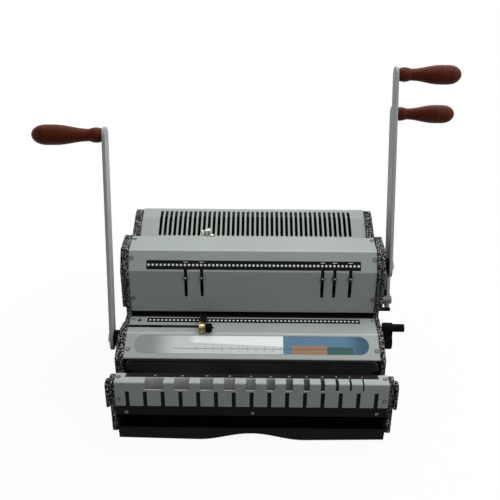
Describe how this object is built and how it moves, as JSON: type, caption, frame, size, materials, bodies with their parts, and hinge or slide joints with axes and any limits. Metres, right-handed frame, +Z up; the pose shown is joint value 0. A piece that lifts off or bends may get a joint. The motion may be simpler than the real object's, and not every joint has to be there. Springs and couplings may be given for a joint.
{
  "type": "binding machine",
  "caption": "Desk binding machine with stacked hand punches, side levers with wooden grips, and a wire closer with a slotted channel in front.",
  "frame": {"origin": "on the table, under the middle of the machine's box", "axes": "+X to the operator's right, +Y to the back, +Z up"},
  "size_m": [0.667, 0.3545, 0.498],
  "materials": {
    "frame_paint": "black hammered paint with fine pale speckle",
    "grey_paint": "light grey powder coat",
    "black_paint": "satin black paint",
    "tray_paint": "satin black paint",
    "tool_steel": "ground and plated steel",
    "brass": "plain brass",
    "wood": "red-brown varnish",
    "black_plastic": "moulded black",
    "rubber": "moulded black rubber"
  },
  "bodies": {
    "frame": {"left_side_frame": "frame_paint", "right_side_frame": "frame_paint", "end_covers": "frame_paint", "closer_end_plates": "frame_paint", "upper_cover": "grey_paint", "slotted_plate": "grey_paint", "rear_panel": "grey_paint", "lower_cover": "grey_paint", "closer_channel": "grey_paint", "closing_bar": "black_paint", "closer_bed": "black_paint", "front_tie_bar": "black_paint", "base_rails": "black_paint", "rubber_feet": "rubber", "upper_die": "tool_steel", "upper_stripper": "tool_steel", "lower_die": "tool_steel", "lower_stripper": "tool_steel", "shaft_bushes": "brass", "guide_posts": "tool_steel", "spring_rods": "tool_steel", "upper_springs": "tool_steel", "lower_springs": "tool_steel", "hub_cover": "black_paint", "guide_rod": "tool_steel", "lock_screw": "black_plastic"},
    "closer_lever": {"closer_lever": "grey_paint", "closer_hub": "black_plastic", "closer_shaft": "tool_steel", "closer_bolts": "tool_steel", "closer_grip": "wood"},
    "jaw": {"closer_jaw": "grey_paint", "pull_bars": "black_paint"},
    "upper_lever": {"upper_lever": "grey_paint", "upper_hub": "black_plastic", "upper_shaft": "tool_steel", "upper_bolts": "tool_steel", "upper_grip": "wood"},
    "upper_ram": {"upper_ram": "tool_steel", "upper_pins": "tool_steel"},
    "lower_lever": {"lower_lever": "grey_paint", "lower_hub": "black_plastic", "lower_shaft": "tool_steel", "lower_bolts": "tool_steel", "lower_grip": "wood"},
    "lower_ram": {"lower_ram": "tool_steel", "lower_pins": "tool_steel"},
    "selector_1": {"selector_1": "tool_steel"},
    "selector_2": {"selector_2": "tool_steel"},
    "selector_3": {"selector_3": "tool_steel"},
    "selector_4": {"selector_4": "tool_steel"},
    "selector_5": {"selector_5": "tool_steel"},
    "upper_guide": {"upper_guide": "brass", "upper_guide_screw": "tool_steel"},
    "lower_guide": {"lower_guide": "brass", "lower_guide_screw": "black_plastic"},
    "tray": {"chip_tray": "tray_paint"},
    "size_knob": {"size_knob": "black_plastic"},
    "margin_knob": {"margin_knob": "tool_steel"}
  },
  "joints": [
    {"name": "closer_lever_swing", "type": "hinge", "parent": "frame", "child": "closer_lever", "pos_m": [0, -0.052, 0.0985], "axis": [1, 0, 0], "range_deg": [0, 86]},
    {"name": "jaw_slide", "type": "slide", "parent": "frame", "child": "jaw", "axis": [0, 1, 0], "range_m": [0, 0.0302]},
    {"name": "upper_lever_swing", "type": "hinge", "parent": "frame", "child": "upper_lever", "pos_m": [0, 0.0298, 0.191], "axis": [1, 0, 0], "range_deg": [0, 86]},
    {"name": "upper_ram_slide", "type": "slide", "parent": "frame", "child": "upper_ram", "axis": [0, 1, 0], "range_m": [0, 0.0136], "stiffness_N_per_m": 400, "springref_m": -0.01, "deforming": ["upper_springs"]},
    {"name": "lower_lever_swing", "type": "hinge", "parent": "frame", "child": "lower_lever", "pos_m": [0, 0.071, 0.1105], "axis": [1, 0, 0], "range_deg": [0, 86]},
    {"name": "lower_ram_slide", "type": "slide", "parent": "frame", "child": "lower_ram", "axis": [0, 0, -1], "range_m": [0, 0.0136], "stiffness_N_per_m": 400, "springref_m": -0.03, "deforming": ["lower_springs"]},
    {"name": "selector_1_slide", "type": "slide", "parent": "frame", "child": "selector_1", "axis": [0, 0, -1], "range_m": [0, 0.032]},
    {"name": "selector_2_slide", "type": "slide", "parent": "frame", "child": "selector_2", "axis": [0, 0, -1], "range_m": [0, 0.032]},
    {"name": "selector_3_slide", "type": "slide", "parent": "frame", "child": "selector_3", "axis": [0, 0, -1], "range_m": [0, 0.032]},
    {"name": "selector_4_slide", "type": "slide", "parent": "frame", "child": "selector_4", "axis": [0, 0, -1], "range_m": [0, 0.032]},
    {"name": "selector_5_slide", "type": "slide", "parent": "frame", "child": "selector_5", "axis": [0, 0, -1], "range_m": [0, 0.032]},
    {"name": "upper_guide_slide", "type": "slide", "parent": "frame", "child": "upper_guide", "axis": [1, 0, 0], "range_m": [-0.105, 0.24]},
    {"name": "lower_guide_slide", "type": "slide", "parent": "frame", "child": "lower_guide", "axis": [1, 0, 0], "range_m": [-0.11, 0.004]},
    {"name": "tray_slide", "type": "slide", "parent": "frame", "child": "tray", "axis": [0, -1, 0], "range_m": [0, 0.26]},
    {"name": "size_knob_turn", "type": "hinge", "parent": "frame", "child": "size_knob", "pos_m": [0.21, -0.052, 0.0985], "axis": [1, 0, 0], "range_deg": [-135, 135]},
    {"name": "margin_knob_turn", "type": "hinge", "parent": "frame", "child": "margin_knob", "pos_m": [0.21, 0.004, 0.141], "axis": [1, 0, 0], "range_deg": [-90, 90]}
  ],
  "couplings": [
    {"joint": "jaw_slide", "follows": "closer_lever_swing", "m_per_rad": 0.02},
    {"joint": "upper_ram_slide", "follows": "upper_lever_swing", "m_per_rad": 0.009},
    {"joint": "lower_ram_slide", "follows": "lower_lever_swing", "m_per_rad": 0.009}
  ]
}
